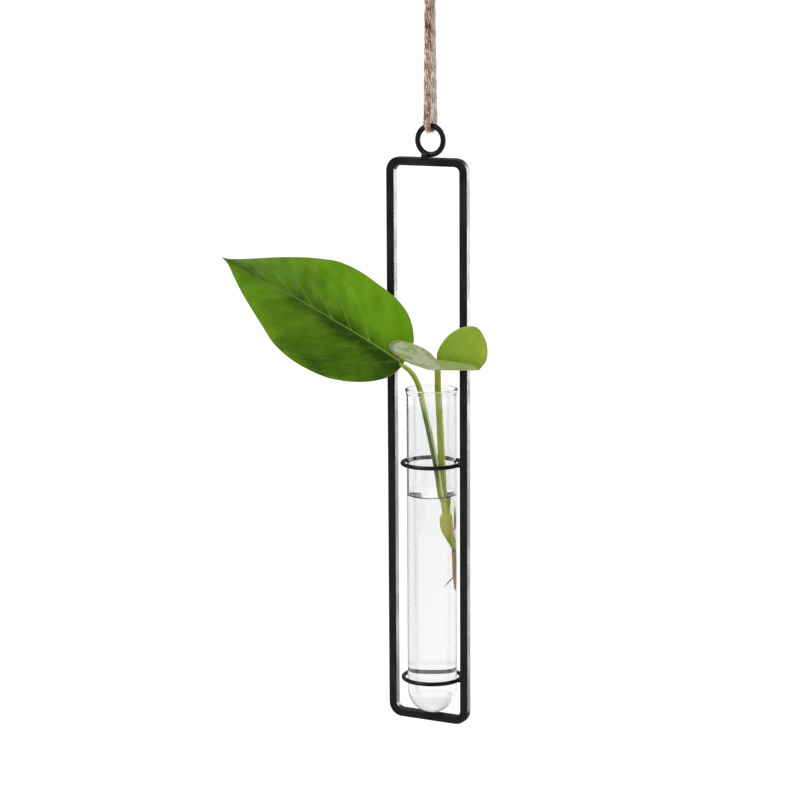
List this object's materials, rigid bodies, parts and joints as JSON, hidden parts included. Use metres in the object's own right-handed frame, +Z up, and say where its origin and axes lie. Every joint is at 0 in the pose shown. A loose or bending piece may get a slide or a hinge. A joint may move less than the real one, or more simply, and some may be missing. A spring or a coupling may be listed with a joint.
{
  "type": "hanging propagation vase",
  "caption": "Tall square-bar metal frame hung on a doubled jute rope, with wire rings that hold a round-bottomed glass tube of water and a rooted leaf cutting.",
  "frame": {"origin": "the hang point: the inside of the crown of the rope's loop, straight above the eye and the tube's axis", "axes": "+Z up, +X along the frame's width to the right seen from the front, -Y to the front, the side that the leaves face"},
  "size_m": [0.1683, 0.0591, 0.4907],
  "materials": {
    "frame_paint": "satin near-black",
    "clear_glass": "clear, fire-polished lip",
    "water": "clear water",
    "large_leaf": "smooth green leaf, lighter veins",
    "small_leaf": "young yellow-green leaf, paler underside",
    "petiole": "green stalk",
    "stem": "green stem with a paler node",
    "sheath": "pale dry sheath",
    "root": "brown root",
    "jute": "two-ply jute with loose fibres"
  },
  "bodies": {
    "support": {"rope_knot": "jute", "hanging_loop": "jute"},
    "rope": {"rope_strands": "jute"},
    "frame": {"frame_bar": "frame_paint", "hanging_eye": "frame_paint", "upper_holder_ring": "frame_paint", "lower_holder_ring": "frame_paint"},
    "tube": {"glass_tube": "clear_glass", "water": "water"},
    "cutting": {"main_stem": "stem", "large_leaf_petiole": "petiole", "large_leaf": "large_leaf", "small_leaf_petiole": "petiole", "small_leaf": "small_leaf", "leaf_sheath": "sheath", "root": "root", "rootlet": "root"}
  },
  "joints": [
    {"name": "vase_turn", "type": "hinge", "parent": "support", "child": "rope", "pos_m": [0, 0, -0.0475], "axis": [0, 0, 1], "continuous": true},
    {"name": "frame_sway", "type": "hinge", "parent": "rope", "child": "frame", "pos_m": [0, 0, -0.1323], "axis": [0, 1, 0], "range_deg": [-20, 20]},
    {"name": "tube_lift", "type": "slide", "parent": "frame", "child": "tube", "axis": [0, 0, 1], "range_m": [0, 0.025]},
    {"name": "cutting_lift", "type": "slide", "parent": "tube", "child": "cutting", "axis": [0, 0, 1], "range_m": [0, 0.128]}
  ]
}
